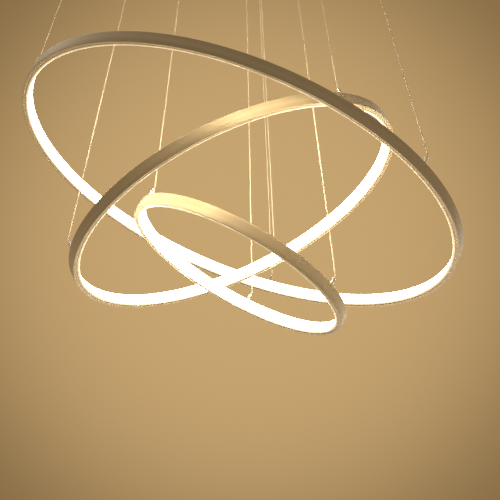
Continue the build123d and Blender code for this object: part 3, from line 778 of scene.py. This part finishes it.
def buildGrips(bm, uvLayer):
    g, floor = grip, -canopy["height"]
    under, top = floor - g["flangeHeight"], floor - g["flangeGap"]
    ringRadius = g["barrel"] - g["ring"]
    outline = [
        (g["hole"], g["neckTop"]), (g["hole"], g["chamberTop"]), (g["chamber"], g["chamberTop"]),
        (g["chamber"], g["coneTop"]), (g["plungerBore"], g["coneBottom"]), (g["plungerBore"], g["bottom"]),
        (g["barrel"] - 0.5, g["bottom"]), (g["barrel"], g["bottom"] + 0.5), (g["barrel"], g["bottom"] + 2.2),
        (ringRadius, g["bottom"] + 2.5), (ringRadius, g["bottom"] + 3.0),
        (g["barrel"], g["bottom"] + 3.3), (g["barrel"], g["bottom"] + 3.6), (g["barrel"], under - 0.6),
        (g["barrel"], under), (g["flange"] - 0.4, under), (g["flange"], under + 0.4),
        (g["flange"], top), (g["neck"], top), (g["neck"], g["neckTop"]),
    ]
    flutes = dict.fromkeys(g["flutedPoints"], g["flute"])
    for ringName in rings:
        for index in range(cablesPerRing):
            revolveInto(bm, uvLayer, outline, gripSpot(ringName, index), g["segments"], flutes=flutes)


piece = newMesh("grip_bodies", buildGrips, materials["polishedNickel"], turnedSharp)
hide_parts("cable_grip_bodies")
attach(piece, "canopy")

for ringName in rings:
    for index in range(cablesPerRing):
        g = grip
        stem, collet = g["plungerBore"] - g["clearance"], g["chamber"] - g["clearance"]

        def buildPlunger(bm, uvLayer):
            outline = [
                (g["plungerHole"], g["plungerBottom"]), (stem - 0.6, g["plungerBottom"]),
                (stem - 0.2, g["plungerBottom"] + 0.2), (stem, g["plungerBottom"] + 0.6),
                (stem, g["coneBottom"]), (collet, g["coneTop"] - 0.2), (collet - 0.2, g["coneTop"]),
                (g["plungerHole"], g["coneTop"]),
            ]
            revolveInto(bm, uvLayer, outline, gripSpot(ringName, index), g["plungerSegments"])

        name = f"{ringName}_plunger_{index + 1}"
        piece = newMesh(name, buildPlunger, materials["polishedNickel"], turnedSharp)
        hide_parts(f"{ringName}_release_plunger_{index + 1}")
        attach(piece, f"{ringName}_release_plunger_{index + 1}")

        def buildSpring(bm, uvLayer):
            spot = gripSpot(ringName, index)
            low, high = g["coneTop"] + g["wire"], g["chamberTop"] - g["wire"]
            steps, radius = g["coils"] * g["coilSteps"], g["coilRadius"]
            points = []
            for k in range(steps + 1):
                angle = 2 * math.pi * g["coils"] * k / steps
                height = low + (high - low) * k / steps
                point = Vector((radius * math.cos(angle), radius * math.sin(angle), height))
                points.append(spot @ (point * mm))
            tubeInto(bm, uvLayer, points, g["wire"] * mm, g["wireSides"])

        piece = newMesh(f"{ringName}_coil_{index + 1}", buildSpring, materials["springWire"])
        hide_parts(f"{ringName}_release_springs")
        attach(piece, "canopy")
        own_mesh(piece)
print("canopy and grips built")


# finishes of the pieces that keep their CAD meshes
carried = {
    "_led_strip": "stripBoard", "_splice_bars": "millAluminium", "_anchor_screws": "zincScrew",
    "_cable_ends": "cableEnd", "cable_tails": "cableEnd", "ceiling_plate": "zincPlate",
    "supply_grommet": "blackRubber", "cable_grip_nuts": "zincScrew", "cable_terminal_board": "whiteNylon",
    "board_standoffs": "zincScrew", "led_driver_case": "driverPlastic", "led_driver_lid": "driverPlastic",
    "led_driver_circuit": "circuitBoard", "mains_terminal_block": "whiteNylon",
    "internal_leads": "leadSheath", "ceiling_plate_screws": "zincScrew",
}
for name, node in nodes.items():
    if name.endswith("_led_chips"):
        finish = phosphor
    else:
        match = [carried[k] for k in carried if name == k or (k[0] == "_" and name.endswith(k))]
        finish = materials[match[0]] if match else None
    if finish is None:  # a node that a piece above replaces
        continue
    node.data.materials.clear()
    node.data.materials.append(finish)
print("carried pieces painted")


stage = {
    "floorZ": -2.42, "floorSize": 30.0, "floorColour": (0.80, 0.71, 0.56), "floorGlow": (0.62, 0.52, 0.37),
    "floorCloud": 1.5, "floorShade": 0.97, "floorRough": 0.7, "floorLift": 0.6,
    # painted light and shade on the backdrop: lighter behind the rings, darker towards the edges of the view
    "backPaintedLight": (0.57, 0.375, 0.165), "backPaintedShade": (0.25, 0.157, 0.064), "backAround": (0.52, 0.405, 0.25),
    "edgeFade": (32.0, 11.0), "middleFade": (10.5, 0.0),  # degrees away from the middle of the backdrop
    "studioColour": (1.0, 0.96, 0.90), "studioStrength": 0.28,
}


def makeFloor():
    material, tree, shader, effect = startMaterial("floorPaint", mottle, {"Cloud Scale": stage["floorCloud"]})
    tint = spread(tree, effect.outputs["Cloud"], 0.0, 1.0)
    low = tuple(c * stage["floorShade"] for c in stage["floorColour"])
    tree.links.new(addMix(tree, tint, low, stage["floorColour"]), shader.inputs["Base Color"])
    shader.inputs["Roughness"].default_value = stage["floorRough"]
    behind = tree.nodes.new("ShaderNodeNewGeometry")  # seen from underneath, the floor is clear
    clear = tree.nodes.new("ShaderNodeBsdfTransparent")
    pale = tree.nodes.new("ShaderNodeEmission")
    pale.inputs["Color"].default_value = (*stage["floorGlow"], 1.0)
    path = tree.nodes.new("ShaderNodeLightPath")
    seen = addMath(tree, "MAXIMUM", path.outputs["Is Camera Ray"], path.outputs["Is Glossy Ray"])
    lifted = tree.nodes.new("ShaderNodeMixShader")
    chosen = tree.nodes.new("ShaderNodeMixShader")
    tree.links.new(addMath(tree, "MULTIPLY", seen, stage["floorLift"]), lifted.inputs[0])
    tree.links.new(shader.outputs[0], lifted.inputs[1])
    tree.links.new(pale.outputs[0], lifted.inputs[2])
    tree.links.new(behind.outputs["Backfacing"], chosen.inputs[0])
    tree.links.new(lifted.outputs[0], chosen.inputs[1])
    tree.links.new(clear.outputs[0], chosen.inputs[2])
    tree.links.new(chosen.outputs[0], tree.nodes["Material Output"].inputs["Surface"])

    def buildFloor(bm, uvLayer):
        half = stage["floorSize"] / 2
        corners = [(-half, -half), (half, -half), (half, half), (-half, half)]
        bm.faces.new([bm.verts.new((x, y, stage["floorZ"])) for x, y in corners])

    floor = newMesh("floor", buildFloor, material)
    floor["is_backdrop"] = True


makeFloor()

shot = {
    "at": (0.023, -3.265, -2.273), "pitch": 16.0, "roll": 0.0, "lens": 144.0, "sensor": 36.0, "clipEnd": 50.0,
}


def makeWorld():
    # soft studio light, with a warm backdrop that carries a painted pool of light behind the rings and
    # painted shade around it
    world = bpy.data.worlds.new("studio")
    bpy.context.scene.world = world
    world.use_nodes = True
    tree = world.node_tree
    studio = tree.nodes["Background"]
    studio.inputs["Color"].default_value = (*stage["studioColour"], 1.0)
    studio.inputs["Strength"].default_value = stage["studioStrength"]
    pitch = math.radians(shot["pitch"])
    towards = tree.nodes.new("ShaderNodeVectorMath")
    towards.operation = "DOT_PRODUCT"
    towards.inputs[1].default_value = (0, math.cos(pitch), math.sin(pitch))
    place = tree.nodes.new("ShaderNodeTexCoord")
    tree.links.new(place.outputs["Generated"], towards.inputs[0])
    backdrop = tree.nodes.new("ShaderNodeBackground")
    colour = stage["backAround"]
    # painted shade towards the edges of the view, then a painted pool of light behind the rings
    for tint, (wide, narrow) in (
        (stage["backPaintedShade"], stage["edgeFade"]), (stage["backPaintedLight"], stage["middleFade"])
    ):
        share = tree.nodes.new("ShaderNodeMapRange")
        share.interpolation_type = "SMOOTHSTEP"
        share.inputs["From Min"].default_value = math.cos(math.radians(wide))
        share.inputs["From Max"].default_value = math.cos(math.radians(narrow))
        tree.links.new(towards.outputs["Value"], share.inputs["Value"])
        colour = addMix(tree, share.outputs["Result"], colour, tint)
    tree.links.new(colour, backdrop.inputs["Color"])
    path = tree.nodes.new("ShaderNodeLightPath")
    seen = addMath(tree, "MAXIMUM", path.outputs["Is Camera Ray"], path.outputs["Is Glossy Ray"])
    seen = addMath(tree, "MAXIMUM", seen, path.outputs["Is Transmission Ray"])
    chosen = tree.nodes.new("ShaderNodeMixShader")
    for socket, value in zip(chosen.inputs, (seen, studio.outputs[0], backdrop.outputs[0])):
        tree.links.new(value, socket)
    tree.links.new(chosen.outputs[0], tree.nodes["World Output"].inputs[0])


makeWorld()

lampAim = (0, 0, -1.2)
lamps = {
    "topLamp": {"at": (-1.2, 2.2, 3.0), "size": 4.5, "power": 110.0},
    "backLamp": {"at": (1.3, 2.8, -0.5), "size": 2.2, "power": 20.0},
    "lowLamp": {"at": (0.1, 0.4, -2.38), "size": 2.6, "power": 24.0},
}
for name, lamp in lamps.items():
    light = bpy.data.lights.new(name, "AREA")
    light.size = lamp["size"]
    light.energy = lamp["power"]
    light.color = stage["studioColour"]
    holder = bpy.data.objects.new(name, light)
    holder.location = lamp["at"]
    holder.visible_camera = False
    aim = Vector(lampAim) - Vector(lamp["at"])
    holder.rotation_euler = aim.to_track_quat("-Z", "Y").to_euler()
    bpy.context.scene.collection.objects.link(holder)

camera = bpy.data.cameras.new("photoCamera")
camera.lens = shot["lens"]
camera.sensor_width = shot["sensor"]
camera.clip_end = shot["clipEnd"]
holder = bpy.data.objects.new("photoCamera", camera)
holder.location = shot["at"]
holder.rotation_euler = (math.radians(90 + shot["pitch"]), math.radians(shot["roll"]), 0)
bpy.context.scene.collection.objects.link(holder)
bpy.context.scene.camera = holder
bpy.context.scene.view_settings.view_transform = "Standard"
print("stage ready")

low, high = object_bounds()
